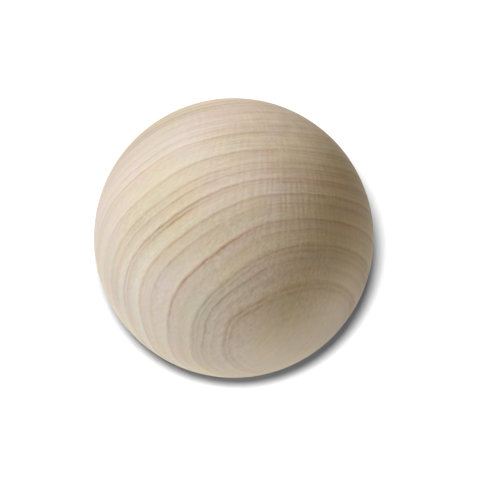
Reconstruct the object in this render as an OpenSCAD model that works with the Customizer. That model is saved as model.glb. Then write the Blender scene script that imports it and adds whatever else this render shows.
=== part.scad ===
// Wooden ball
// A solid ball, turned and sanded from one piece of pale, close-grained wood.
// It has no hole, flat, collar or fixing: it is the same from every side.
// Millimetres. The origin is the ball's centre, and +Z is up.

/* [Ball] */
// Diameter of the ball
ball_diameter = 50; // [8:1:150]

/* [Hidden] */

// Sides of the outline where the ball is drawn as a mesh
outline_sides = 180;

// Sanded wood with no stain or varnish
bare_wood = [0.86, 0.79, 0.69];

// The whole ball, around its centre
module ball() {
    color(bare_wood)
        sphere(d = ball_diameter, $fn = outline_sides);
}

ball();
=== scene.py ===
"""A wooden ball, turned from one piece of pale bare wood and sanded smooth.

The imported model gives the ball's true size and place. This file gives it its finish: growth rings, rays,
pores and soft changes of colour that run through the whole block, so they meet at every side of the ball.
"""
import math

import bpy
import numpy as np
from bpy.props import FloatProperty, FloatVectorProperty, IntProperty, PointerProperty
from mathutils import Euler, Matrix, Vector


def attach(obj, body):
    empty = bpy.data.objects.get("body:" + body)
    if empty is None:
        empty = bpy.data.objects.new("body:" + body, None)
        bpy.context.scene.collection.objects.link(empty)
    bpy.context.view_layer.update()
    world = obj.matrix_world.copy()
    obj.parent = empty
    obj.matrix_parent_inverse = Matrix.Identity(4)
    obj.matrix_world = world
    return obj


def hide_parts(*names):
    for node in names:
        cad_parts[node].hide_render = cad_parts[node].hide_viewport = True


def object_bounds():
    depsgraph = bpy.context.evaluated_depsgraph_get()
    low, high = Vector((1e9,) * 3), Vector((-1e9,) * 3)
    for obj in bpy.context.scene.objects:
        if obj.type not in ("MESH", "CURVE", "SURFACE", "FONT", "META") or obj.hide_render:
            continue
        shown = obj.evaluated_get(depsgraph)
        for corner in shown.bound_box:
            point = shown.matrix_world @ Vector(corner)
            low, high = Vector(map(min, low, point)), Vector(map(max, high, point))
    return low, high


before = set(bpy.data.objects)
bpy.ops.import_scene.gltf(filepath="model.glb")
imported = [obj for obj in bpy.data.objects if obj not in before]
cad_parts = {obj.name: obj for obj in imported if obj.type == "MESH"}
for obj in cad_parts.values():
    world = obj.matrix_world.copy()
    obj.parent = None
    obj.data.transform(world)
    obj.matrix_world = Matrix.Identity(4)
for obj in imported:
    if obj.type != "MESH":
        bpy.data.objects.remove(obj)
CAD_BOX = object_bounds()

bl_info = {
    "name": "Wooden Ball",
    "version": (1, 0, 0),
    "blender": (4, 5, 0),
    "location": "3D View > Sidebar > Wooden Ball",
    "description": "Turns a ball of bare pale wood and lays out the table, lamps and camera around it",
    "category": "Add Mesh",
}

MM = 0.001

BALL_NODE = "ball"
BALL_CENTRE = (CAD_BOX[0] + CAD_BOX[1]) / 2
BALL_RADIUS = max(CAD_BOX[1] - CAD_BOX[0]) / 2

# The rendered image is square. The ball's centre and radius in it are in pixels, from the top left corner.
IMAGE_SIDE_PX = 492
BALL_AT_PX = (233.8, 237.9)
BALL_RADIUS_PX = 139.9
CLIP_START = 0.01
CLIP_END = 20.0

# A small soft lamp near the camera lights the table alone: how far it is to the right of the camera and
# above it, and its radius, in metres, and its level. The first values came from a fit by a separate
# program.
TABLE_LAMP_SIDE = -0.030
TABLE_LAMP_RISE = 0.076
TABLE_LAMP_RADIUS = 0.047
TABLE_LAMP_LEVEL = 1.6

# Its light on the table falls with the square of the distance, and once more for the slant.
TABLE_LAMP_FALL = 3.0

# The camera sees a faint painted glow on the table, which makes up for the room's warm light so that the
# shadow shows a neutral grey. There is less of it where the ball hides the room: close to the contact and
# behind the ball. Places and reaches are on the table, from the contact.
TINT_START = 4 * MM
TINT_FULL = 16 * MM
TINT_LOSS_PLACE = (0.0, 13 * MM, 0.0)
TINT_LOSS_REACH = (11 * MM, 9 * MM, 9 * MM)
TINT_LOSS = 0.42

# The table lights the ball with its plain colour at the first place and with its right side's colour from
# the second on, both in ball radii to the right of the ball's centre.
RIGHT_SIDE_SPAN = (-1.0, 2.0)

# Softboxes that light the ball alone: name, azimuth and height in degrees, width in metres, level and
# colour. They began as least-squares fits by separate programs, and were rounded and partly adjusted. The
# same holds for the table's two colours and the room's colour and level in the stage's settings.
LAMP_DISTANCE = 0.8
LAMPS = (
    ("key", 167.0, 44.5, 0.25, 0.60, (0.96, 1.0, 1.04)),
    ("back", 121.0, 46.5, 0.25, 0.33, (1.04, 1.0, 0.96)),
    ("fill", 250.0, 13.0, 0.50, 0.235, (0.97, 1.0, 0.97)),
    ("side", 315.0, 4.0, 0.30, 0.05, (1.06, 1.0, 0.80)),
)


# ------------------------ the wood

# Each growth ring starts with a thin darker line and ends with paler wood. The numbers are how far from the
# pith the ring starts, in millimetres, how dark its line is, how pale its last wood is and how yellow it is
# (0 to 1). The distances were read off fits and profiles that separate programs made, and many were then
# moved.
RINGS = (
    (42.5, 0.35, 0.4, 0.5), (44.8, 0.50, 0.6, 0.5), (47.2, 0.30, 0.3, 0.5), (49.6, 0.55, 0.7, 0.5),
    (51.6, 0.35, 0.3, 0.5), (53.3, 0.45, 0.5, 0.4), (54.7, 0.35, 0.2, 0.4), (57.5, 0.10, 0.3, 0.5),
    (59.9, 0.12, 0.5, 0.5), (62.1, 0.18, 0.5, 0.5), (64.0, 0.38, 0.8, 0.7), (68.8, 0.28, 0.6, 0.6),
    (71.85, 0.44, 0.2, 0.6), (73.3, 0.50, 0.7, 0.5), (75.45, 1.00, 0.0, 0.3), (76.1, 0.75, 1.0, 0.4),
    (78.55, 0.62, 0.3, 0.5), (80.15, 0.40, 0.7, 0.5), (82.8, 1.00, 0.2, 0.3), (84.4, 0.06, 0.9, 0.8),
    (86.3, 0.45, 0.0, 0.6), (86.85, 0.30, 0.1, 0.5), (87.65, 0.40, 0.4, 0.4), (88.8, 0.15, 0.5, 0.4),
    (90.08, 0.55, 0.1, 0.5), (90.5, 0.40, 0.1, 0.4), (91.1, 0.12, 0.2, 0.4), (92.3, 0.02, 0.2, 0.5),
    (94.5, 0.30, 0.2, 0.5),
)

# How dark the line is at each distance after the ring's start, in millimetres.
LINE_PROFILE = ((0.0, 0.0), (0.13, 0.35), (0.24, 1.0), (0.36, 0.85), (0.48, 0.25), (0.8, 0.12), (1.4, 0.0))

# How pale the wood is across each ring, from its start (0) to the next one's (1).
PALE_PROFILE = ((0.0, 0.3), (0.08, 0.0), (0.28, 0.0), (0.45, 0.4), (0.65, 0.7), (0.85, 1.0), (1.0, 0.9))

# How strongly the pores show at each distance from the pith, and at each place along the grain, in
# millimetres.
PORE_STRENGTH = ((60.0, 0.35), (72.0, 0.55), (80.0, 1.0), (87.5, 1.15), (91.5, 1.2), (93.0, 0.6),
                 (95.0, 0.35))
PORE_FADE = ((-25.0, 0.4), (-9.0, 0.5), (0.0, 1.0), (25.0, 1.0))

# Where fibres lie flat in the surface and show as long streaks: distance from the pith in millimetres and
# strength.
FIBRE_STRENGTH = ((86.0, 0.0), (88.5, 0.6), (90.0, 1.0), (95.0, 0.8))

# How red the lines are at each distance from the pith, in millimetres.
LINE_REDNESS = ((60.0, 0.6), (69.0, 0.7), (71.5, 0.45), (76.5, 0.45), (78.3, 1.0), (82.5, 0.85), (83.8, 0.85),
                (86.0, 0.1), (89.5, 0.2), (90.3, 0.5), (91.0, 0.5))

# How strongly the lines show along the grain: place in millimetres and strength. Nearer the pith than the
# level distance the lines fade further up the grain, by so many millimetres for each millimetre.
LINE_STRENGTH = ((-25.0, 0.3), (-12.0, 0.25), (-6.0, 0.45), (0.0, 1.0), (7.0, 1.1), (25.0, 1.0))
LINE_LEVEL_DISTANCE = 82.0
LINE_FADE_SLOPE = 0.3

# Where the ring lines are weaker or stronger than elsewhere: name, place in the tree (from the pith, around
# it and along the grain), reach the same three ways, all in millimetres, and the change of strength (-1 is
# no line).
LINE_SPOTS = (
    ("calm lines", (78.5, 5.0, 18.5), (5.5, 20.0, 6.0), -0.8),
    ("strong pair", (72.9, 10.0, 18.0), (1.3, 14.0, 5.0), 0.4),
    ("calm inner line", (87.9, 2.0, 16.0), (0.6, 7.0, 3.5), -0.7),
    ("strong outer line", (86.6, 1.0, 17.5), (0.4, 8.0, 3.5), 0.8),
    ("soft inner lines", (90.5, 1.0, 12.5), (0.8, 9.0, 4.5), -0.35),
    ("faint shoulder lines", (73.0, -12.0, 22.0), (8.0, 6.0, 8.0), -0.7),
    ("broken double line", (75.0, 23.0, 0.0), (1.3, 4.0, 1.5), -0.6),
    ("strong second line", (87.9, 13.0, -3.0), (0.45, 5.0, 6.0), 0.9),
    ("calm top line", (69.0, 18.0, 14.5), (0.6, 5.0, 3.0), -0.45),
    ("calm second line", (76.4, 3.0, 23.0), (0.3, 6.0, 4.0), -0.6),
)

# Where the trunk swelled and pushed the rings out (or in): place in the ball, push, reach across the grain
# and reach along it, all in millimetres. The first three, and the grain's lean, heading, roll, pith
# distance and bow in the wood's settings, were fitted by separate programs and rounded. The last two were
# set one by one.
SWELLS = (
    ((9.0, -5.0, 22.7), 3.7, 17.5, 7.5),
    ((-12.0, -20.2, 5.7), -1.4, 4.5, 11.5),
    ((-10.0, 7.9, 20.8), 0.7, 7.5, 3.5),
    ((-0.6, -22.8, 10.1), 0.45, 2.5, 2.5),
    ((-6.2, -23.8, 4.5), -0.40, 1.6, 4.0),
)

# The bow in the wood's settings is measured this far along the grain from the middle, in millimetres.
BOW_PLACE = 10.0

# Where the rays and pores show as a fine weave: place in the tree (from the pith, around it and along the
# grain) and reach the same three ways, in millimetres.
WEAVE_PLACE = (79.5, 4.0, 21.0)
WEAVE_REACH = (6.5, 7.0, 7.0)

# Where the fine texture is fainter, in the same way.
SMOOTH_PLACE = (86.0, -3.5, 16.0)
SMOOTH_REACH = (8.0, 4.5, 8.0)

# Where the wood is blotchy, in the same way.
BLOT_PLACE = (66.0, 2.0, 24.0)
BLOT_REACH = (9.0, 9.0, 6.0)

# Soft patches of another colour: name, place in the tree (from the pith, around it and along the grain),
# reach the same three ways, all in millimetres, and the share of the wood's own red, green and blue that
# they add. The first ten and "lilac top" were solved for by a separate program and rounded, and three of
# them were then changed. The others were set one by one.
# Five of these patches are not the wood's colour. They are painted shade on the ball's right side and painted
# bounce light on its lower side, as marked below.
PATCHES = (
    ("lilac heart", (75.0, 13.0, 20.5), (2.6, 6.0, 6.0), (0.07, 0.07, 0.18)),
    ("straw side", (73.0, 23.5, 5.0), (4.0, 7.0, 8.0), (-0.08, -0.08, -0.14)),
    ("straw middle", (77.0, 20.0, 10.0), (3.0, 5.0, 6.0), (0.0, 0.0, -0.09)),
    ("cool shoulder", (60.0, 22.0, 12.0), (5.0, 8.0, 8.0), (-0.05, -0.02, 0.02)),
    ("cool foot", (79.0, 19.5, -8.0), (5.0, 6.0, 8.0), (0.05, 0.08, 0.16)),
    ("cool base", (87.5, 14.0, -1.0), (4.0, 5.0, 6.0), (-0.01, 0.02, 0.05)),
    ("warm side", (80.0, 1.0, 22.0), (8.0, 8.0, 8.0), (0.02, 0.02, -0.12)),
    ("brown crown", (91.0, 4.0, 11.0), (3.0, 5.0, 5.0), (-0.07, -0.10, -0.17)),
    ("pale rim", (92.0, -3.5, 7.5), (4.0, 6.0, 8.0), (0.02, 0.04, 0.06)),
    ("pink edge", (63.5, 25.0, -5.0), (6.0, 6.0, 8.0), (-0.08, -0.07, 0.0)),
    # Painted shade: darkens the ball's right shoulder, which the lamps leave dark.
    ("painted shade on the right shoulder", (70.5, -8.0, 23.5), (4.0, 4.0, 6.0), (-0.18, -0.18, -0.27)),
    # Painted bounce light: lightens the ball's lower left side, as light from the table would.
    ("painted bounce light on the underside", (84.0, 11.0, -13.5), (5.0, 6.0, 5.0), (0.13, 0.13, 0.16)),
    ("lilac top", (60.0, 12.0, 21.0), (5.0, 8.0, 6.0), (0.02, 0.02, 0.07)),
    ("dark eye", (91.7, 4.6, 7.0), (2.0, 2.5, 3.0), (-0.11, -0.10, -0.15)),
    ("pale beside the eye", (92.0, -3.5, 8.5), (3.0, 3.5, 4.5), (0.15, 0.18, 0.24)),
    ("pale under the eye", (92.5, 4.0, -5.5), (4.0, 7.0, 3.5), (0.08, 0.10, 0.13)),
    ("dark over the eye", (87.8, 1.5, 15.6), (2.3, 3.2, 2.6), (-0.10, -0.09, -0.09)),
    ("pale side", (88.5, -6.0, 15.0), (5.0, 2.5, 5.0), (0.10, 0.11, 0.10)),
    ("dark middle", (82.2, 13.5, 14.0), (3.8, 6.5, 4.5), (-0.07, -0.07, -0.06)),
    ("dark crown", (75.4, 6.0, 23.2), (3.0, 4.0, 4.0), (-0.07, -0.06, -0.06)),
    ("brown in the double line", (76.05, 21.0, 8.5), (0.4, 4.0, 3.5), (-0.04, -0.06, -0.08)),
    ("pale after the double line", (76.8, 21.5, 6.0), (0.25, 6.0, 6.0), (0.05, 0.05, 0.05)),
    ("pale before the main line", (82.6, 13.0, 6.0), (0.22, 10.0, 9.0), (0.04, 0.04, 0.04)),
    ("brown at the top", (54.1, 16.0, 12.0), (0.7, 14.0, 12.0), (-0.06, -0.06, -0.07)),
    ("straw eye", (91.8, 7.5, 3.8), (1.5, 3.0, 5.0), (0.01, 0.01, -0.03)),
    ("brown upper edge", (51.5, 20.0, 8.0), (3.2, 8.0, 9.0), (-0.19, -0.19, -0.28)),
    ("brown left edge", (55.0, 26.0, 0.0), (3.0, 5.0, 5.0), (-0.10, -0.10, -0.10)),
    # Painted bounce light: these two lighten the ball's lower and lower left edges, as light from the table
    # would.
    ("painted bounce light at the lower left edge", (72.0, 17.0, -19.5), (6.0, 6.0, 3.8), (0.18, 0.20, 0.20)),
    ("painted bounce light at the lower edge", (84.0, 8.0, -19.5), (7.0, 6.0, 3.8), (0.18, 0.20, 0.20)),
    # Painted shade: darkens the ball's right edge.
    ("painted shade at the right edge", (92.0, -10.0, 0.0), (6.0, 4.0, 7.0), (-0.12, -0.12, -0.12)),
    ("pale right side", (84.0, -8.0, 17.0), (5.0, 4.0, 5.0), (0.06, 0.07, 0.07)),
    ("cool left", (69.5, 24.0, -7.0), (4.0, 4.0, 4.0), (0.0, 0.0, 0.08)),
    ("pale top left", (63.0, 20.3, 15.3), (2.0, 3.0, 3.5), (0.06, 0.05, 0.11)),
    ("green left", (76.0, 22.0, -2.0), (6.0, 6.0, 8.0), (-0.03, 0.0, 0.0)),
    ("green upper left", (66.0, 21.0, 13.0), (5.0, 5.0, 5.0), (-0.03, 0.0, 0.0)),
    ("brown flecks", (72.6, 24.0, 1.5), (0.5, 2.0, 1.5), (-0.05, -0.07, -0.10)),
    ("green rings", (87.8, 13.0, -3.0), (1.6, 4.0, 6.0), (-0.04, 0.0, 0.0)),
    ("cool under the eye", (91.0, 8.5, -5.0), (2.0, 4.0, 4.0), (0.0, 0.0, 0.06)),
    ("brown under the top line", (69.3, 12.0, 22.0), (0.25, 6.0, 3.0), (-0.05, -0.06, -0.08)),
    ("brown in the top ring", (64.6, 12.0, 21.5), (0.2, 6.0, 3.0), (-0.05, -0.06, -0.08)),
    ("brown inner lines", (90.45, 0.0, 12.5), (0.3, 8.0, 4.5), (-0.02, -0.04, -0.06)),
    ("rose on the double line", (75.8, 3.0, 23.5), (1.2, 6.0, 4.0), (0.04, -0.02, -0.01)),
    ("straw top", (62.0, 4.0, 23.5), (6.0, 7.0, 5.0), (0.0, 0.0, -0.05)),
    ("dark weave", (80.0, 6.5, 21.0), (5.0, 3.0, 4.0), (-0.04, -0.04, -0.04)),
)

# How quickly each texture changes, for each millimetre across the grain, away from the pith and along the
# grain.
SLOW_WAVER_SCALE = (0.16, 0.16, 0.06)
QUICK_WAVER_SCALE = (0.9, 0.9, 0.5)
DRIFT_SCALE = (0.09, 0.14, 0.05)
PORE_SCALE = (2.4, 2.4, 0.9)
ROUGH_PATCH_SCALE = (0.12, 0.2, 0.1)
BLOT_SCALE = (0.55, 0.55, 0.4)
MOTTLE_SCALE = (0.22, 0.22, 0.11)

# The same, for each millimetre from the pith, around it and along the grain.
BAND_SCALE = (0.55, 0.05, 0.04)
STREAK_SCALE = (1.3, 0.05, 0.05)
FIBRE_SCALE = (0.7, 1.3, 0.14)

# The same, for each ring, and each millimetre around the pith and along the grain.
DASH_SCALE = (3.7, 0.30, 0.25)
BEAD_SCALE = (3.7, 1.1, 0.5)

# The same, for each millimetre across a set of fine lines, along them and into the wood.
WANDER_SCALE = (0.5, 0.06, 0.12)
COME_AND_GO_SCALE = (0.6, 0.5, 0.5)

# A noise texture stays near its middle. These are the values that count as its lowest and highest.
NOISE_MIDDLE = 0.5
WIDE_SPAN = (0.3, 0.7)
NARROW_SPAN = (0.35, 0.65)
COME_AND_GO_SPAN = (0.38, 0.58)

# How far the rings waver in and out, and how far apart fine lines are, in millimetres.
SLOW_WAVER = 0.12
QUICK_WAVER = 0.16
RAY_SPACING = 1.0
ROW_SPACING = 0.9
CLOSE_ROW_SPACING = 0.45

# How far fine lines wander, in spacings.
WANDER_TURNS = 2.4

# How much of each effect shows. Where there are two values, the second is at the noise's highest. The
# mottle has one value each for red, green and blue.
CREAM_SHARE = (0.2, 0.9)
DASH_STRENGTH = (0.6, 1.2)
BEAD_STRENGTH = (0.72, 1.28)
LINE_DEPTH = 0.75
PORE_SHADE = (0.3, 0.6)
FIBRE_SHADE = 0.15
BLOT_SHADE = 0.40
WEAVE_RAY_SHADE = 0.08
WEAVE_ROW_SHADE = 0.06
SMOOTH_TEXTURE = 0.4
MOTTLE_TINT = (0.25, 0.0, 0.5)
YEAR_BLUE = 0.08

# The same for what changes from side grain (first value) to end grain (second), and where end grain starts
# and is full, as a share of the ball's radius along the grain.
END_GRAIN_SPAN = (0.40, 0.8)
STREAK_SHADE = (0.14, 0.25)
ROW_SHADE = (0.01, 0.05)
RAY_SHADE = (0.01, 0.03)

# How much a shade changes red, green and blue.
SHADE_CHANNELS = (0.8, 1.0, 1.12)

# The sanded surface. Its waves run in random directions, and each has a random rate from the lowest to the
# highest, in radians for each radius of the ball.
WOOD_IOR = 1.45
WOOD_SPECULAR = 0.15
LINE_ROUGHER = 0.12
RELIEF_STRENGTH = 0.25
RELIEF_HEIGHT = 0.03 * MM
SANDING_SEED = 7
SANDING_WAVES = 24
SANDING_RATES = (6, 20)


# ------------------------ settings

def length_setting(name, description, default, low=0.0):
    """A setting in metres."""
    return FloatProperty(name=name, description=description, default=default, min=low, subtype="DISTANCE",
                         unit="LENGTH")


def angle_setting(name, description, degrees):
    """A setting that is an angle."""
    return FloatProperty(name=name, description=description, default=math.radians(degrees), subtype="ANGLE",
                         unit="ROTATION")


def colour_setting(name, description, default):
    """A setting that is a colour."""
    return FloatVectorProperty(name=name, description=description, default=default, size=3, min=0.0, max=1.0,
                               subtype="COLOR")


class WoodSettings(bpy.types.PropertyGroup):
    """How the block of wood lay in the tree, and its colours"""

    grain_lean: angle_setting("Grain lean", "Angle between the grain and straight up", 37.3)
    grain_heading: angle_setting("Grain heading", "Direction that the grain leans to, turned from +X", 27.6)
    grain_roll: angle_setting("Grain roll", "Turn of the block around its own grain", 179.0)
    pith_distance: length_setting("Pith distance", "From the tree's centre to the ball's centre", 68.5 * MM)
    bow: FloatProperty(
        name="Bow", description="How much the rings bend along the grain, in millimetres", default=-0.65)
    ray_bend_place: length_setting(
        "Ray bend place", "Distance from the pith where the rays run straight out", 82.0 * MM)
    ray_bend: FloatProperty(
        name="Ray bend", description="How much the rays bend, in millimetres at 1 mm from that place",
        default=0.01)
    cream: colour_setting("Cream", "Colour of the plain wood", (0.765, 0.645, 0.515))
    pale: colour_setting("Pale", "Colour of the last growth before each line", (0.810, 0.715, 0.590))
    red_line: colour_setting(
        "Red ring line", "Colour of the ring lines where they are reddest", (0.500, 0.245, 0.120))
    grey_line: colour_setting(
        "Grey ring line", "Colour of the ring lines where they are greyest", (0.340, 0.250, 0.155))
    rose: colour_setting("Rose", "Colour of the pinkish patches", (0.740, 0.610, 0.520))
    straw: colour_setting("Straw", "Colour of the yellowish patches", (0.730, 0.635, 0.470))
    roughness: FloatProperty(
        name="Roughness", description="Roughness of the sanded surface", default=0.62, min=0.0, max=1.0,
        subtype="FACTOR")
    grid: IntProperty(
        name="Grid", description="Cells along each edge of the ball's mesh", default=120, min=8, max=128)
    sanding_wave: length_setting(
        "Sanding wave", "Height of the faint unevenness that sanding leaves", 0.03 * MM)
    line_groove: length_setting("Line groove", "Depth to which the softer ring lines are worn", 0.02 * MM)


class StageSettings(bpy.types.PropertyGroup):
    """The table, lamps and camera around the ball"""

    floor_size: length_setting("Floor size", "Side of the table", 6.0, low=0.5)
    floor_colour: colour_setting("Floor", "Colour of the table", (0.39, 0.414, 0.412))
    floor_right_colour: colour_setting(
        "Floor on the right", "Colour that the table's right side lights the ball with", (0.285, 0.285, 0.25))
    floor_white: FloatProperty(
        name="Floor white", description="How white the camera sees the lit table", default=0.645, min=0.0)
    room_colour: colour_setting("Room", "Colour of the light from the room", (1.0, 0.6, 0.3))
    room_level: FloatProperty(
        name="Room level", description="Strength of the light from the room", default=0.12, min=0.0)
    # A faint painted glow on the table, seen by the camera alone, that keeps the shadow a neutral grey.
    painted_shadow_glow: colour_setting(
        "Painted shadow glow", "Light that keeps the shadow a neutral grey", (0.003, 0.035, 0.070))
    camera_height: angle_setting("Camera height", "Angle of the camera above the table", 58.0)
    lens: FloatProperty(
        name="Lens", description="Focal length in millimetres", default=300.0, min=20.0)


# ------------------------ the grain in plain numbers

def grain_axes(wood):
    """Columns are across the grain, away from the pith, and along the grain."""
    return (Matrix.Rotation(wood.grain_heading, 3, "Z") @ Matrix.Rotation(wood.grain_lean, 3, "Y")
            @ Matrix.Rotation(wood.grain_roll, 3, "Z"))


def swell_places(wood):
    """The swells with their centres turned into the grain's own axes."""
    to_grain = grain_axes(wood).transposed()
    return [(to_grain @ Vector(place), push, across, along) for place, push, across, along in SWELLS]


def ring_radius(points_mm, wood):
    """Distance from the pith in millimetres of each point, with the swells."""
    across, out, along = (points_mm @ np.array(grain_axes(wood))).T
    pith = wood.pith_distance / MM
    radius = np.hypot(across, out + pith + wood.bow * (along / BOW_PLACE) ** 2)
    for centre, push, reach_across, reach_along in swell_places(wood):
        gap = ((across - centre.x) / reach_across) ** 2 + ((out - centre.y) / reach_across) ** 2
        gap += ((along - centre.z) / reach_along) ** 2
        radius += push * np.exp(-gap / 2)
    return radius


def line_darkness(radius):
    """Darkness of the ring lines, 0 to 1, at each distance from the pith."""
    starts = np.array([ring[0] for ring in RINGS])
    number = np.clip(np.searchsorted(starts, radius, side="right") - 1, 0, len(starts) - 1)
    places, values = zip(*LINE_PROFILE)
    darkness = np.array([ring[1] for ring in RINGS])
    return np.interp(radius - starts[number], places, values) * darkness[number]


# ------------------------ the ball's mesh

def ball_lattice(cells):
    """Points on a cube's surface as whole numbers from 0 to cells, each once, and the quads between them."""
    steps = np.arange(cells)
    first, second = (grid.ravel() for grid in np.meshgrid(steps, steps, indexing="ij"))
    corners = []
    for axis in range(3):
        for end in (0, cells):
            quad = []
            for a, b in ((0, 0), (1, 0), (1, 1), (0, 1)):
                corner = np.full((cells * cells, 3), end)
                corner[:, (axis + 1) % 3] = first + a
                corner[:, (axis + 2) % 3] = second + b
                quad.append(corner)
            corners.append(np.stack(quad if end else quad[::-1], 1))
    every = np.concatenate(corners).reshape(-1, 3)
    points, index = np.unique(every, axis=0, return_inverse=True)
    return points, index.reshape(-1, 4)


def ball_mesh(wood):
    """The ball with its worn ring lines and the faint waves of sanding."""
    points, quads = ball_lattice(wood.grid)
    even = np.tan((points / wood.grid * 2.0 - 1.0) * math.pi / 4)
    outward = even / np.linalg.norm(even, axis=1, keepdims=True)

    chance = np.random.default_rng(SANDING_SEED)
    wave = np.zeros(len(outward))
    for _ in range(SANDING_WAVES):
        direction = chance.normal(size=3)
        wave += np.sin(outward @ (direction / np.linalg.norm(direction)) * chance.uniform(*SANDING_RATES)
                       + chance.uniform(0, 2 * math.pi))
    wave /= np.abs(wave).max()

    radius_mm = BALL_RADIUS / MM
    groove = line_darkness(ring_radius(outward * radius_mm, wood))
    height = BALL_RADIUS - wood.sanding_wave * (1 - wave) / 2 - wood.line_groove * groove
    mesh = bpy.data.meshes.new("turned_ball")
    places = outward * height[:, None] + np.array(BALL_CENTRE)
    mesh.from_pydata(places.tolist(), [], quads.tolist())
    mesh.polygons.foreach_set("use_smooth", [True] * len(mesh.polygons))
    mesh.update()
    return mesh


# ------------------------ small helpers for node trees

def plug(tree, socket, value):
    """Sets a socket to a value, or links it to another socket."""
    if isinstance(value, bpy.types.NodeSocket):
        tree.links.new(value, socket)
    elif value is not None:
        socket.default_value = value


def add(tree, kind, name=None, **settings):
    """Adds a node and sets it up."""
    node = tree.nodes.new(kind)
    if name:
        node.name = node.label = name
    for key, value in settings.items():
        setattr(node, key, value)
    return node


def calc(tree, operation, *values, name=None, clamp=False):
    """The result of a Math node."""
    node = add(tree, "ShaderNodeMath", name, operation=operation, use_clamp=clamp)
    for socket, value in zip(node.inputs, values):
        plug(tree, socket, value)
    return node.outputs[0]


def times(tree, one, two, **settings):
    """One value multiplied by another."""
    return calc(tree, "MULTIPLY", one, two, **settings)


def vector_calc(tree, operation, *values, name=None, out=0):
    """The result of a Vector Math node: output 0 is a vector and 1 a number."""
    node = add(tree, "ShaderNodeVectorMath", name, operation=operation)
    for socket, value in zip(node.inputs, values):
        plug(tree, socket, value)
    return node.outputs[out]


def between(tree, value, low, high, to_low=0.0, to_high=1.0, smooth=False, name=None):
    """Moves a value from one span to another and keeps it inside."""
    node = add(tree, "ShaderNodeMapRange", name, interpolation_type="SMOOTHSTEP" if smooth else "LINEAR")
    for socket, given in zip(node.inputs, (value, low, high, to_low, to_high)):
        plug(tree, socket, given)
    return node.outputs[0]


def mix_colour(tree, share, one, two, name=None):
    """Goes from one colour to the other. Inputs 6 and 7 and output 2 are the node's colour sockets."""
    node = add(tree, "ShaderNodeMix", name, data_type="RGBA", clamp_factor=True)
    plug(tree, node.inputs[0], share)
    plug(tree, node.inputs[6], one)
    plug(tree, node.inputs[7], two)
    return node.outputs[2]


def combine(tree, x, y, z, name=None):
    """One vector from three numbers."""
    node = add(tree, "ShaderNodeCombineXYZ", name)
    for socket, value in zip(node.inputs, (x, y, z)):
        plug(tree, socket, value)
    return node.outputs[0]


def noise(tree, name, place, scale, detail=2.0, roughness=0.5):
    """The outputs of a noise texture that changes as quickly along each axis as the scale says."""
    node = add(tree, "ShaderNodeTexNoise", name, noise_dimensions="3D")
    plug(tree, node.inputs["Vector"], vector_calc(tree, "MULTIPLY", place, scale))
    plug(tree, node.inputs["Scale"], 1.0)
    plug(tree, node.inputs["Detail"], detail)
    plug(tree, node.inputs["Roughness"], roughness)
    return node.outputs


def swing(tree, name, place, scale, **settings):
    """A noise texture's value, above and below 0."""
    return calc(tree, "SUBTRACT", noise(tree, name, place, scale, **settings)["Fac"], NOISE_MIDDLE)


def ramp(tree, value, stops, name=None, interpolation="LINEAR"):
    """A curve through the stops, each a place from 0 to 1 and a grey value or a colour with its alpha."""
    node = add(tree, "ShaderNodeValToRGB", name)
    plug(tree, node.inputs[0], value)
    elements = node.color_ramp.elements
    node.color_ramp.interpolation = interpolation
    while len(elements) > 1:
        elements.remove(elements[-1])
    for number, (place, shade) in enumerate(stops):
        element = elements[0] if number == 0 else elements.new(place)
        element.position = place
        element.color = shade if isinstance(shade, tuple) else (shade, shade, shade, 1.0)
    return node.outputs["Color"]


def profile(tree, value, stops, name=None):
    """A curve whose places are in the same unit as the value, such as millimetres."""
    low, high = stops[0][0], stops[-1][0]
    even = [((place - low) / (high - low), grey) for place, grey in stops]
    return ramp(tree, between(tree, value, low, high), even, name)


def new_group(name, inputs, outputs):
    """An empty shader node group. Inputs are (name, socket kind, default) and outputs (name, socket kind)."""
    tree = bpy.data.node_groups.new(name, "ShaderNodeTree")
    for label, kind, default in inputs:
        socket = tree.interface.new_socket(label, in_out="INPUT", socket_type=f"NodeSocket{kind}")
        if default is not None:
            socket.default_value = default
    for label, kind in outputs:
        tree.interface.new_socket(label, in_out="OUTPUT", socket_type=f"NodeSocket{kind}")
    return tree, add(tree, "NodeGroupInput").outputs, add(tree, "NodeGroupOutput").inputs


def use_group(tree, group, name=None, **values):
    """Places a group in a tree. Values are given by socket name, with _ for each space."""
    node = add(tree, "ShaderNodeGroup", name or group.name, node_tree=group)
    for key, value in values.items():
        plug(tree, node.inputs[key.replace("_", " ")], value)
    return node.outputs


def empty_tree(owner):
    """Turns a material's or a world's nodes on and clears them."""
    owner.use_nodes = True
    owner.node_tree.nodes.clear()
    return owner.node_tree


# ------------------------ node groups of the wood

def soft_spot_group():
    """1 at a place, and softly less away from it."""
    if "Soft Spot" in bpy.data.node_groups:
        return bpy.data.node_groups["Soft Spot"]
    tree, given, result = new_group(
        "Soft Spot",
        [("Place", "Vector", None), ("Centre", "Vector", None), ("Reach", "Vector", (1, 1, 1))],
        [("Share", "Float")])
    gap = vector_calc(tree, "SUBTRACT", given["Place"], given["Centre"])
    gap = vector_calc(tree, "DIVIDE", gap, given["Reach"])
    square = vector_calc(tree, "DOT_PRODUCT", gap, gap, out=1)
    plug(tree, result["Share"], calc(tree, "EXPONENT", times(tree, square, -0.5)))
    return tree


def spot(tree, name, place, centre, reach):
    """How near a place is to a soft spot's centre, up to 1."""
    return use_group(tree, soft_spot_group(), name, Place=place, Centre=centre, Reach=reach)["Share"]


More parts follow.
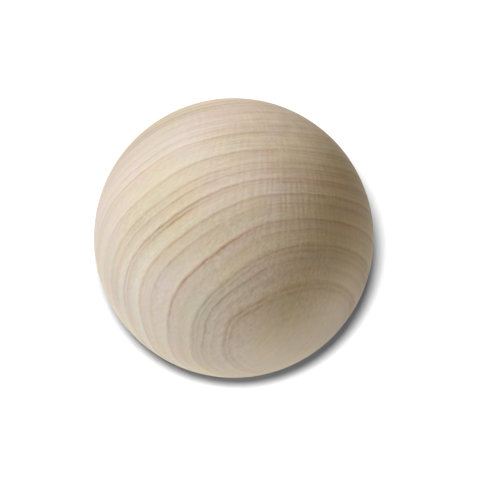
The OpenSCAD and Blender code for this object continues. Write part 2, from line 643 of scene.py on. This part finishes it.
def grain_group(wood):
    """Turns a place in the ball into a place in the tree, in millimetres."""
    tree, given, result = new_group(
        "Place In Tree",
        [("Position", "Vector", None)],
        [("Radius", "Float"), ("Around", "Float"), ("Along", "Float"), ("Place", "Vector"),
         ("End Grain", "Float")])
    turn = add(tree, "ShaderNodeMapping", "Along The Grain", vector_type="POINT")
    plug(tree, turn.inputs["Vector"], given["Position"])
    turn.inputs["Rotation"].default_value = grain_axes(wood).transposed().to_euler("XYZ")
    turn.inputs["Scale"].default_value = (1 / MM, 1 / MM, 1 / MM)
    place = turn.outputs[0]
    parts = add(tree, "ShaderNodeSeparateXYZ")
    plug(tree, parts.inputs[0], place)
    across, out, along = parts.outputs

    pith = wood.pith_distance / MM
    bend = times(tree, times(tree, along, along), wood.bow / BOW_PLACE ** 2, name="Bow")
    from_pith = calc(tree, "ADD", calc(tree, "ADD", out, pith), bend)
    radius = vector_calc(tree, "LENGTH", combine(tree, across, from_pith, 0.0), out=1)
    for number, (centre, push, reach_across, reach_along) in enumerate(swell_places(wood)):
        swell = spot(tree, f"Swell {number + 1}", place, centre, (reach_across, reach_across, reach_along))
        radius = calc(tree, "MULTIPLY_ADD", swell, push, radius)

    slow = noise(tree, "Slow Waver", place, SLOW_WAVER_SCALE, detail=1.0)["Fac"]
    quick = noise(tree, "Quick Waver", place, QUICK_WAVER_SCALE)["Fac"]
    radius = calc(tree, "ADD", radius, between(tree, slow, 0.0, 1.0, -SLOW_WAVER, SLOW_WAVER))
    radius = calc(tree, "ADD", radius, between(tree, quick, 0.0, 1.0, -QUICK_WAVER, QUICK_WAVER))

    around = times(tree, calc(tree, "ARCTAN2", across, from_pith), pith)
    facing = calc(tree, "DIVIDE", calc(tree, "ABSOLUTE", along), BALL_RADIUS / MM)
    for label, value in (("Radius", radius), ("Around", around), ("Along", along), ("Place", place),
                         ("End Grain", facing)):
        plug(tree, result[label], value)
    return tree


def rings_group():
    """Ring lines and pale bands from the distance to the pith."""
    tree, given, result = new_group(
        "Growth Rings",
        [("Radius", "Float", 0.0)],
        [("Line", "Float"), ("Pale", "Float"), ("Yellow", "Float"), ("Ring", "Float")])
    starts = [ring[0] for ring in RINGS]
    last = len(RINGS) - 1
    widths = [after - before for before, after in zip(starts, starts[1:])]
    widest = max(widths)

    curve = add(tree, "ShaderNodeFloatCurve", "Ring Starts")
    points = curve.mapping.curves[0].points
    for number, start in enumerate(starts):
        place = ((start - starts[0]) / (starts[-1] - starts[0]), number / last)
        point = points[0 if number == 0 else -1] if number in (0, last) else points.new(*place)
        point.location = place
        point.handle_type = "VECTOR"
    curve.mapping.update()
    plug(tree, curve.inputs["Value"], between(tree, given["Radius"], starts[0], starts[-1], name="Ring Span"))
    count = times(tree, curve.outputs[0], float(last), name="Ring Count")
    number = calc(tree, "FLOOR", count)
    phase = calc(tree, "FRACT", count, name="Place In Ring")

    shares = [(index / last, (dark, pale, width / widest, yellow))
              for index, ((_, dark, pale, yellow), width) in enumerate(zip(RINGS, widths))]
    table_place = calc(tree, "DIVIDE", calc(tree, "ADD", number, 0.5), float(last))
    table = ramp(tree, table_place, shares, "Each Ring", "CONSTANT")
    parts = add(tree, "ShaderNodeSeparateColor")
    plug(tree, parts.inputs[0], table)
    darkness, paleness, share = parts.outputs
    yellow = table.node.outputs["Alpha"]
    width = times(tree, share, widest, name="Ring Width")
    after = times(tree, phase, width, name="After Start")
    line = times(tree, profile(tree, after, LINE_PROFILE, "Line Profile"), darkness)
    pale = times(tree, ramp(tree, phase, PALE_PROFILE, "Pale Profile"), paleness)
    for label, value in (("Line", line), ("Pale", pale), ("Yellow", yellow), ("Ring", number)):
        plug(tree, result[label], value)
    return tree


def fine_lines_group():
    """Fine lines side by side, -1 to 1, of uneven width and strength."""
    tree, given, result = new_group(
        "Fine Lines",
        [("Across", "Float", 0.0), ("Run", "Float", 0.0), ("Depth", "Float", 0.0),
         ("Spacing", "Float", RAY_SPACING)],
        [("Line", "Float")])
    place = combine(tree, given["Across"], given["Run"], given["Depth"])
    wander = noise(tree, "Wander", place, WANDER_SCALE, detail=1.0)["Fac"]
    count = calc(tree, "DIVIDE", given["Across"], given["Spacing"])
    turns = calc(tree, "MULTIPLY_ADD", wander, WANDER_TURNS, count)
    wave = calc(tree, "SINE", times(tree, turns, 2 * math.pi))
    break_up = noise(tree, "Come And Go", place, COME_AND_GO_SCALE)["Fac"]
    plug(tree, result["Line"], times(tree, wave, between(tree, break_up, *COME_AND_GO_SPAN)))
    return tree


def tint_group():
    """Scales each channel of a colour. Darker wood is redder and less blue than a plain shade of it."""
    tree, given, result = new_group(
        "Wood Tint",
        [("Colour", "Color", (1, 1, 1, 1)), ("Shade", "Float", 0.0), ("Tint", "Vector", None)],
        [("Colour", "Color")])
    scale = vector_calc(tree, "SCALE", SHADE_CHANNELS, name="Shade Of Each Channel")
    plug(tree, tree.nodes["Shade Of Each Channel"].inputs["Scale"], given["Shade"])
    scale = vector_calc(tree, "ADD", vector_calc(tree, "ADD", scale, given["Tint"]), (1.0, 1.0, 1.0))
    plug(tree, result["Colour"], vector_calc(tree, "MULTIPLY", given["Colour"], scale))
    return tree


# ------------------------ the wood's material

def ground_colour(tree, wood, rings, where, in_tree):
    """Colour between the lines: straw and rose, cream bands, and the pale last growth of each ring."""
    drift = noise(tree, "Colour Drift", where["Place"], DRIFT_SCALE)["Fac"]
    bands = noise(tree, "Band Drift", in_tree, BAND_SCALE)["Fac"]
    rosy = between(tree, drift, *NARROW_SPAN)
    colour = mix_colour(tree, rosy, (*wood.straw, 1), (*wood.rose, 1), "Ground")
    creamy = between(tree, bands, *WIDE_SPAN, *CREAM_SHARE)
    colour = mix_colour(tree, creamy, colour, (*wood.cream, 1), "Cream")
    return mix_colour(tree, rings["Pale"], colour, (*wood.pale, 1), "Pale Growth")


def line_share(tree, rings, where, in_tree):
    """How strongly a ring line shows. Lines break up, fade along the grain and differ from spot to spot."""
    on_line = combine(tree, rings["Ring"], where["Around"], where["Along"], "Ring Around Along")
    dashes = noise(tree, "Line Strength", on_line, DASH_SCALE, detail=3.0)["Fac"]
    beads = noise(tree, "Line Beads", on_line, BEAD_SCALE, detail=1.0)["Fac"]
    past_level = calc(tree, "SUBTRACT", where["Radius"], LINE_LEVEL_DISTANCE)
    faded = calc(tree, "MULTIPLY_ADD", past_level, LINE_FADE_SLOPE, where["Along"])
    strength = between(tree, dashes, *WIDE_SPAN, *DASH_STRENGTH)
    strength = times(tree, strength, profile(tree, faded, LINE_STRENGTH, "Strength Along The Grain"))
    strength = times(tree, strength, between(tree, beads, *WIDE_SPAN, *BEAD_STRENGTH))
    for name, centre, reach, gain in LINE_SPOTS:
        here = spot(tree, name.title(), in_tree, centre, reach)
        strength = times(tree, strength, calc(tree, "MULTIPLY_ADD", here, gain, 1.0))
    return times(tree, rings["Line"], strength, clamp=True)


def fine_shade(tree, wood, where, in_tree, end_grain):
    """Dark and light of the rays, the rows of pores and the single pores."""
    radius, around, along = where["Radius"], where["Around"], where["Along"]
    past_bend = calc(tree, "SUBTRACT", radius, wood.ray_bend_place / MM)
    bent = calc(tree, "MULTIPLY_ADD", times(tree, past_bend, past_bend), wood.ray_bend, around)
    lines = fine_lines_group()
    rays = use_group(tree, lines, "Rays", Across=bent, Run=radius, Depth=along, Spacing=RAY_SPACING)["Line"]
    rows = use_group(tree, lines, "Pore Rows", Across=radius, Run=around, Depth=along,
                     Spacing=ROW_SPACING)["Line"]
    close_rows = use_group(tree, lines, "Close Rows", Across=radius, Run=around, Depth=along,
                           Spacing=CLOSE_ROW_SPACING)["Line"]
    weave = spot(tree, "Weave", in_tree, WEAVE_PLACE, WEAVE_REACH)
    row = times(tree, rows, between(tree, end_grain, 0, 1, *ROW_SHADE))
    row = calc(tree, "MULTIPLY_ADD", times(tree, close_rows, weave), WEAVE_ROW_SHADE, row)
    ray = times(tree, rays, between(tree, end_grain, 0, 1, *RAY_SHADE))
    ray = calc(tree, "MULTIPLY_ADD", times(tree, rays, weave), WEAVE_RAY_SHADE, ray)

    specks = swing(tree, "Pores", where["Place"], PORE_SCALE, detail=3.0, roughness=0.6)
    rough_patches = noise(tree, "Rough Patches", where["Place"], ROUGH_PATCH_SCALE, detail=1.0)["Fac"]
    speck = times(tree, specks, between(tree, rough_patches, *NARROW_SPAN, *PORE_SHADE))
    speck = times(tree, speck, profile(tree, radius, PORE_STRENGTH, "Pore Strength"))
    speck = times(tree, speck, profile(tree, along, PORE_FADE, "Pore Fade"))
    return calc(tree, "ADD", calc(tree, "ADD", row, ray), speck, name="Fine Shade")


def broad_shade(tree, where, in_tree, end_grain, texture_left):
    """Dark and light of the growth streaks, the blots and the long fibres."""
    streaks = swing(tree, "Growth Streaks", in_tree, STREAK_SCALE, detail=1.0)
    streak = times(tree, streaks, between(tree, end_grain, 0, 1, *STREAK_SHADE))
    blots = swing(tree, "Blots", where["Place"], BLOT_SCALE)
    blot = times(tree, blots, spot(tree, "Blotchy", in_tree, BLOT_PLACE, BLOT_REACH))
    fibres = swing(tree, "Fibres", in_tree, FIBRE_SCALE, roughness=0.6)
    fibre = times(tree, fibres, profile(tree, where["Radius"], FIBRE_STRENGTH, "Fibre Strength"))
    fibre = times(tree, fibre, texture_left)
    shade = calc(tree, "MULTIPLY_ADD", blot, BLOT_SHADE, streak)
    return calc(tree, "MULTIPLY_ADD", fibre, FIBRE_SHADE, shade)


def colour_change(tree, rings, where, in_tree):
    """The share of red, green and blue that the mottle, the patches and the yellow or blue years add."""
    mottle = noise(tree, "Colour Mottle", where["Place"], MOTTLE_SCALE, detail=5.0, roughness=0.85)["Color"]
    change = vector_calc(tree, "SUBTRACT", mottle, (NOISE_MIDDLE, NOISE_MIDDLE, NOISE_MIDDLE))
    change = vector_calc(tree, "MULTIPLY", change, MOTTLE_TINT)
    for name, centre, reach, tint in PATCHES:
        here = spot(tree, name.title(), in_tree, centre, reach)
        change = vector_calc(tree, "MULTIPLY_ADD", combine(tree, here, here, here), tint, change)
    blue = between(tree, rings["Yellow"], 0.0, 1.0, YEAR_BLUE, -YEAR_BLUE, name="Yellow Or Blue Year")
    return vector_calc(tree, "ADD", change, combine(tree, 0.0, 0.0, blue))


def wood_material(wood):
    """Bare sanded wood, whose colour, roughness and relief all come from the place in the tree."""
    material = bpy.data.materials.new("bare_pale_wood")
    tree = empty_tree(material)
    position = add(tree, "ShaderNodeTexCoord").outputs["Object"]
    where = use_group(tree, grain_group(wood), Position=position)
    in_tree = combine(tree, where["Radius"], where["Around"], where["Along"], "Radius Around Along")
    rings = use_group(tree, rings_group(), Radius=where["Radius"])
    end_grain = between(tree, where["End Grain"], *END_GRAIN_SPAN, smooth=True, name="End Grain Share")
    smooth_side = spot(tree, "Smooth Side", in_tree, SMOOTH_PLACE, SMOOTH_REACH)
    texture_left = between(tree, smooth_side, 0.0, 1.0, 1.0, SMOOTH_TEXTURE, name="Texture Left")

    line = line_share(tree, rings, where, in_tree)
    redness = profile(tree, where["Radius"], LINE_REDNESS, "Line Redness")
    line_colour = mix_colour(tree, redness, (*wood.grey_line, 1), (*wood.red_line, 1), "Line Colour")
    colour = ground_colour(tree, wood, rings, where, in_tree)
    colour = mix_colour(tree, times(tree, line, LINE_DEPTH), colour, line_colour, "Ring Lines")
    shade = times(tree, fine_shade(tree, wood, where, in_tree, end_grain), texture_left)
    both = calc(tree, "ADD", shade, broad_shade(tree, where, in_tree, end_grain, texture_left))
    change = colour_change(tree, rings, where, in_tree)
    colour = use_group(tree, tint_group(), Colour=colour, Shade=both, Tint=change)["Colour"]

    surface = add(tree, "ShaderNodeBsdfPrincipled", "Bare Wood")
    surface.inputs["IOR"].default_value = WOOD_IOR
    surface.inputs["Specular IOR Level"].default_value = WOOD_SPECULAR
    plug(tree, surface.inputs["Base Color"], colour)
    plug(tree, surface.inputs["Roughness"],
         calc(tree, "ADD", times(tree, line, LINE_ROUGHER), wood.roughness))
    bump = add(tree, "ShaderNodeBump", "Fine Relief")
    bump.inputs["Strength"].default_value = RELIEF_STRENGTH
    bump.inputs["Distance"].default_value = RELIEF_HEIGHT
    plug(tree, bump.inputs["Height"], shade)
    plug(tree, surface.inputs["Normal"], bump.outputs[0])
    output = add(tree, "ShaderNodeOutputMaterial")
    plug(tree, output.inputs["Surface"], surface.outputs[0])
    return material


# ------------------------ the stage

def background_rays(tree):
    """1 for the rays that should meet a plain white background, and 0 for the rays that light the ball."""
    path = add(tree, "ShaderNodeLightPath")
    seen = calc(tree, "MAXIMUM", path.outputs["Is Camera Ray"], path.outputs["Is Glossy Ray"])
    return calc(tree, "MAXIMUM", seen, path.outputs["Is Transmission Ray"], name="Background Rays")


def floor_material(stage, lamp_place):
    """A pale table. The camera sees it evenly white, apart from where the ball shades it from its lamp. There
    a faint painted glow keeps the shadow a neutral grey.
    """
    material = bpy.data.materials.new("pale_table")
    tree = empty_tree(material)
    seen = background_rays(tree)
    position = add(tree, "ShaderNodeNewGeometry").outputs["Position"]
    reach = vector_calc(tree, "DISTANCE", position, lamp_place, out=1)
    nearest = (lamp_place - BALL_CENTRE).length
    further = calc(tree, "DIVIDE", reach, nearest)
    evening = calc(tree, "POWER", further, TABLE_LAMP_FALL, name="Even Out The Lamp")
    white = vector_calc(tree, "SCALE", (1.0, 1.0, 1.0), name="White Table")
    plug(tree, tree.nodes["White Table"].inputs["Scale"], times(tree, evening, stage.floor_white))
    parts = add(tree, "ShaderNodeSeparateXYZ")
    plug(tree, parts.inputs[0], position)
    start, full = (span * BALL_RADIUS for span in RIGHT_SIDE_SPAN)
    right = between(tree, parts.outputs["X"], start, full, smooth=True, name="Right Side")
    sides = ((*stage.floor_colour, 1), (*stage.floor_right_colour, 1))
    bounce = mix_colour(tree, right, *sides, "Bounce Colour")
    surface = add(tree, "ShaderNodeBsdfDiffuse", "Table")
    plug(tree, surface.inputs["Color"], mix_colour(tree, seen, bounce, white))
    # Painted glow: light that only the camera sees on the table, so the shadow shows grey. It fades near the
    # contact and behind the ball.
    glow = add(tree, "ShaderNodeEmission", "Painted Shadow Glow")
    plug(tree, glow.inputs["Color"], (*stage.painted_shadow_glow, 1))
    contact = Vector((BALL_CENTRE.x, BALL_CENTRE.y, CAD_BOX[0].z))
    away = vector_calc(tree, "DISTANCE", position, contact, out=1)
    clear = between(tree, away, TINT_START, TINT_FULL, smooth=True, name="Clear Of The Contact")
    behind = spot(tree, "Behind The Ball", position, contact + Vector(TINT_LOSS_PLACE), TINT_LOSS_REACH)
    clear = times(tree, clear, calc(tree, "MULTIPLY_ADD", behind, -TINT_LOSS, 1.0))
    plug(tree, glow.inputs["Strength"], times(tree, seen, clear))
    both = add(tree, "ShaderNodeAddShader")
    plug(tree, both.inputs[0], surface.outputs[0])
    plug(tree, both.inputs[1], glow.outputs[0])
    output = add(tree, "ShaderNodeOutputMaterial")
    plug(tree, output.inputs["Surface"], both.outputs[0])
    return material


def add_lamp(name, azimuth, height, size, level, colour):
    """A round soft lamp. Level 1 lights a surface that faces it so that its colour shows as written."""
    lamp = bpy.data.lights.new(name, "AREA")
    lamp.shape = "DISK"
    lamp.size = size
    lamp.energy = level * (math.pi * LAMP_DISTANCE) ** 2
    lamp.color = colour
    ob = bpy.data.objects.new(name, lamp)
    direction = Euler((0.0, -height, azimuth)).to_matrix() @ Vector((1.0, 0.0, 0.0))
    ob.location = BALL_CENTRE + direction * LAMP_DISTANCE
    ob.rotation_euler = direction.to_track_quat("Z", "Y").to_euler()
    bpy.context.scene.collection.objects.link(ob)
    return ob


def make_floor(stage, lamp_place):
    """The table under the ball."""
    half = stage.floor_size / 2
    mesh = bpy.data.meshes.new("table")
    level = CAD_BOX[0].z
    corners = [(x * half, y * half, level) for x, y in ((-1, -1), (1, -1), (1, 1), (-1, 1))]
    mesh.from_pydata(corners, [], [(0, 1, 2, 3)])
    mesh.update()
    mesh.materials.append(floor_material(stage, lamp_place))
    floor = bpy.data.objects.new("table", mesh)
    bpy.context.scene.collection.objects.link(floor)
    return floor


def add_table_lamp(camera):
    """A small soft lamp near the camera. Level 1 shows the table's colour about as written."""
    right, up, _ = camera.matrix_basis.to_3x3().transposed()
    lamp = bpy.data.lights.new("table_lamp", "POINT")
    ob = bpy.data.objects.new("table_lamp", lamp)
    ob.location = camera.location + right * TABLE_LAMP_SIDE + up * TABLE_LAMP_RISE
    lamp.shadow_soft_size = TABLE_LAMP_RADIUS
    distance = (ob.location - BALL_CENTRE).length
    height = ob.location.z - CAD_BOX[0].z
    lamp.energy = TABLE_LAMP_LEVEL * 4 * math.pi ** 2 * distance ** 3 / height
    bpy.context.scene.collection.objects.link(ob)
    return ob


def light_only(lamp, *targets):
    """Lets a lamp reach nothing but the targets."""
    lit = bpy.data.collections.new(f"{lamp.name}_lights")
    for target in targets:
        lit.objects.link(target)
    lamp.light_linking.receiver_collection = lit


def make_world(stage):
    """A white background that lights the ball only faintly, as a warm room would."""
    world = bpy.data.worlds.new("pale_room")
    tree = empty_tree(world)
    seen = background_rays(tree)
    background = add(tree, "ShaderNodeBackground", "Room")
    plug(tree, background.inputs["Color"], mix_colour(tree, seen, (*stage.room_colour, 1), (1, 1, 1, 1)))
    plug(tree, background.inputs["Strength"], between(tree, seen, 0, 1, stage.room_level, 1.0))
    output = add(tree, "ShaderNodeOutputWorld")
    plug(tree, output.inputs["Surface"], background.outputs[0])
    bpy.context.scene.world = world


def make_camera(stage):
    """Looks at the ball from the front and above, so that the ball lies at its place in the image."""
    data = bpy.data.cameras.new("camera")
    data.type = "PERSP"
    data.lens = stage.lens
    camera = bpy.data.objects.new("camera", data)
    half_angle = math.atan(BALL_RADIUS_PX / IMAGE_SIDE_PX * data.sensor_width / data.lens)
    distance = BALL_RADIUS / math.sin(half_angle)
    turn = Euler((math.pi / 2 - stage.camera_height, 0.0, 0.0)).to_matrix()
    right, up, back = turn.transposed()
    metres_per_px = BALL_RADIUS / BALL_RADIUS_PX
    middle = IMAGE_SIDE_PX / 2
    aim = BALL_CENTRE + right * (middle - BALL_AT_PX[0]) * metres_per_px
    aim = aim + up * (BALL_AT_PX[1] - middle) * metres_per_px
    camera.location = aim + back * distance
    camera.rotation_euler = turn.to_euler()
    data.clip_start = CLIP_START
    data.clip_end = CLIP_END
    bpy.context.scene.collection.objects.link(camera)
    bpy.context.scene.camera = camera
    return camera


# ------------------------ operators, panel and main

class WOODENBALL_OT_turn_ball(bpy.types.Operator):
    """Turn the ball and give it its bare wood"""

    bl_idname = "wooden_ball.turn_ball"
    bl_label = "Turn Ball"

    def execute(self, context):
        wood = context.scene.wooden_ball_wood
        mesh = ball_mesh(wood)
        mesh.materials.append(wood_material(wood))
        ball = bpy.data.objects.new("turned_ball", mesh)
        context.scene.collection.objects.link(ball)
        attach(ball, "root")
        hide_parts(BALL_NODE)
        return {"FINISHED"}


class WOODENBALL_OT_lay_stage(bpy.types.Operator):
    """Lay out the table, the lamps and the camera"""

    bl_idname = "wooden_ball.lay_stage"
    bl_label = "Lay Stage"

    def execute(self, context):
        stage = context.scene.wooden_ball_stage
        make_world(stage)
        camera = make_camera(stage)
        table_lamp = add_table_lamp(camera)
        floor = make_floor(stage, table_lamp.location)
        light_only(table_lamp, floor)
        ball = bpy.data.objects["turned_ball"]
        for name, azimuth, height, size, level, colour in LAMPS:
            lamp = add_lamp(name, math.radians(azimuth), math.radians(height), size, level, colour)
            light_only(lamp, ball)
        context.scene.view_settings.view_transform = "Standard"
        return {"FINISHED"}


class WOODENBALL_PT_panel(bpy.types.Panel):
    """Sizes and colours of the ball, and the steps that make it"""

    bl_idname = "WOODENBALL_PT_panel"
    bl_label = "Wooden Ball"
    bl_space_type = "VIEW_3D"
    bl_region_type = "UI"
    bl_category = "Wooden Ball"

    def draw(self, context):
        for settings, operator in (
            (context.scene.wooden_ball_wood, WOODENBALL_OT_turn_ball),
            (context.scene.wooden_ball_stage, WOODENBALL_OT_lay_stage),
        ):
            box = self.layout.box()
            for name in type(settings).__annotations__:
                box.prop(settings, name)
            box.operator(operator.bl_idname)


CLASSES = (WoodSettings, StageSettings, WOODENBALL_OT_turn_ball, WOODENBALL_OT_lay_stage, WOODENBALL_PT_panel)


def register():
    """Adds the settings, steps and panel to Blender."""
    for each in CLASSES:
        bpy.utils.register_class(each)
    bpy.types.Scene.wooden_ball_wood = PointerProperty(type=WoodSettings)
    bpy.types.Scene.wooden_ball_stage = PointerProperty(type=StageSettings)


def unregister():
    """Takes them away again."""
    del bpy.types.Scene.wooden_ball_stage
    del bpy.types.Scene.wooden_ball_wood
    for each in reversed(CLASSES):
        bpy.utils.unregister_class(each)


def main():
    """Makes the ball and its stage."""
    register()
    bpy.ops.wooden_ball.turn_ball()
    bpy.ops.wooden_ball.lay_stage()


if __name__ == "__main__":
    main()
